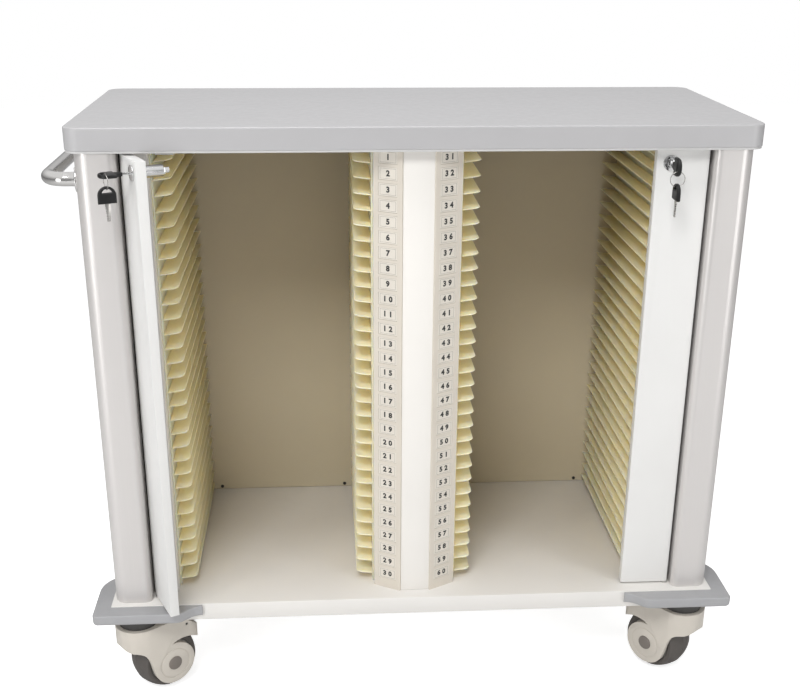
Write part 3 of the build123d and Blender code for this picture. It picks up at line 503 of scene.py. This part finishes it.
# Locking flaps, locks and keys
# Each flap is a folded white pan on two pivot pins, with a plated cam lock near its top.
# A black-bowed key stands in each lock, and a spare hangs from its ring.
flap_white = powder_coat("flap_white", (0.765, 0.76, 0.745))
lock_chrome = polished("lock_chrome", (0.60, 0.60, 0.60), 0.08, 0.18)
key_black = moulded("key_black", (0.010, 0.010, 0.010), 0.34, 0.5)
key_black.node_tree.nodes["Principled BSDF"].inputs["Specular IOR Level"].default_value = 0.28
key_steel = polished("key_steel", (0.40, 0.39, 0.37), 0.20, 0.32)
flap_swing = {"left": radians(65.0), "right": 0.0}
blade_length = 0.026
blade_root_half = 0.0040
blade_narrowing = 0.00175
tooth_size = 0.0024
notch_places = ((0.006, 0.0004), (0.0095, 0.0010), (0.013, 0.0005), (0.0165, 0.0011), (0.020, 0.0006))
for side in ("left", "right"):
    coat(eased(side + "_flap", side + "_flap_body", 0.0012, 3), flap_white)
    coat(eased(side + "_lock_body", side + "_flap_body", 0.0006), lock_chrome)
    coat(eased(side + "_lock_plug", side + "_lock", 0.0003), lock_chrome)
    coat(eased(side + "_key_bow", side + "_lock", 0.0012, 3), key_black)
    coat(eased(side + "_spare_key_bow", side + "_spare_key", 0.0012, 3), key_black)
    blade = eased(side + "_spare_key_blade", side + "_spare_key", 0.0002)
    bow_low, bow_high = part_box(side + "_spare_key_bow")
    blade_wide = Vector((-sin(flap_swing[side]), -cos(flap_swing[side]), 0.0))
    blade_thin = blade_wide.cross(Vector((0.0, 0.0, 1.0)))
    blade_turn = Matrix((blade_wide, blade_thin, (0.0, 0.0, 1.0))).transposed()
    tooth_turn = blade_turn @ Matrix.Rotation(radians(45.0), 3, "Y")
    blade_middle = Vector(((bow_low.x + bow_high.x) / 2, (bow_low.y + bow_high.y) / 2, bow_low.z))
    notches = []
    for drop, bite in notch_places:
        half = blade_root_half - blade_narrowing * drop / blade_length
        notch = blade_middle + blade_wide * (half + tooth_size / 2 - bite)
        deselect_all()
        bpy.ops.mesh.primitive_cube_add(
            size=tooth_size,
            location=notch + Vector((0.0, 0.0, -drop)),
            rotation=tooth_turn.to_euler(),
        )
        notches.append(bpy.context.active_object)
    cut_away(blade, notches)
    coat(blade, key_steel)

# Floor, light and camera
# A pale floor under soft studio light, seen from a little above and to the left of the middle.
deselect_all()
bpy.ops.mesh.primitive_plane_add(size=14.0, location=(0.0, 0.0, 0.0))
floor = bpy.context.active_object
floor.name = "floor"
floor_white, nodes, links, shader = new_finish("floor_white")
shader.inputs["Base Color"].default_value = (0.85, 0.85, 0.85, 1.0)
shader.inputs["Roughness"].default_value = 0.9
shader.inputs["Emission Color"].default_value = (1.0, 1.0, 1.0, 1.0)
path = nodes.new("ShaderNodeLightPath")
seen = nodes.new("ShaderNodeMath")
seen.operation = "MULTIPLY"
seen.inputs[1].default_value = 0.72
links.new(path.outputs["Is Camera Ray"], seen.inputs[0])
links.new(seen.outputs["Value"], shader.inputs["Emission Strength"])
coat(floor, floor_white)

world = bpy.data.worlds.new("studio")
bpy.context.scene.world = world
world.use_nodes = True
sky = world.node_tree.nodes["Background"]
sky.inputs["Color"].default_value = (1.0, 1.0, 1.0, 1.0)
path = world.node_tree.nodes.new("ShaderNodeLightPath")
place = world.node_tree.nodes.new("ShaderNodeTexCoord")
height = world.node_tree.nodes.new("ShaderNodeSeparateXYZ")
mirrored = world.node_tree.nodes.new("ShaderNodeMapRange")
mirrored.inputs["From Min"].default_value = -0.05
mirrored.inputs["From Max"].default_value = 0.55
mirrored.inputs["To Min"].default_value = 0.25
mirrored.inputs["To Max"].default_value = 1.1
glossy = world.node_tree.nodes.new("ShaderNodeMapRange")
glossy.inputs["To Min"].default_value = 0.34
level = world.node_tree.nodes.new("ShaderNodeMapRange")
level.inputs["To Max"].default_value = 1.0
join = world.node_tree.links.new
join(place.outputs["Generated"], height.inputs["Vector"])
join(height.outputs["Z"], mirrored.inputs["Value"])
join(path.outputs["Is Glossy Ray"], glossy.inputs["Value"])
join(mirrored.outputs["Result"], glossy.inputs["To Max"])
join(path.outputs["Is Camera Ray"], level.inputs["Value"])
join(glossy.outputs["Result"], level.inputs["To Min"])
join(level.outputs["Result"], sky.inputs["Strength"])


def soft_box(name, place, aim, size, power):
    lamp = bpy.data.lights.new(name, "AREA")
    lamp.shape = "RECTANGLE"
    lamp.size = size[0]
    lamp.size_y = size[1]
    lamp.energy = power
    holder = bpy.data.objects.new(name, lamp)
    bpy.context.scene.collection.objects.link(holder)
    holder.location = place
    holder.rotation_euler = (Vector(aim) - Vector(place)).to_track_quat("-Z", "Y").to_euler()


soft_box("key_light", (-0.8, -2.6, 3.3), (0.0, 0.0, 0.5), (1.4, 1.0), 62.0)
soft_box("overhead_light", (0.0, -0.4, 3.2), (0.0, -0.1, 0.0), (2.0, 1.2), 32.0)
soft_box("left_strip", (-1.7, -1.7, 0.70), (0.4, 0.0, 0.58), (0.60, 1.1), 12.0)
soft_box("right_strip", (1.7, -1.7, 0.70), (-0.4, 0.0, 0.58), (0.60, 1.1), 9.0)

view = bpy.data.cameras.new("photo_view")
view.lens = 52.22
view.sensor_width = 36.0
view.shift_y = 0.05
view.clip_end = 60.0
camera = bpy.data.objects.new("photo_view", view)
bpy.context.scene.collection.objects.link(camera)
camera.location = (-0.1290, -1.9387, 1.2669)
camera.rotation_euler = (radians(68.416), radians(-0.300), radians(-3.682))
bpy.context.scene.camera = camera
bpy.context.scene.view_settings.view_transform = "Standard"
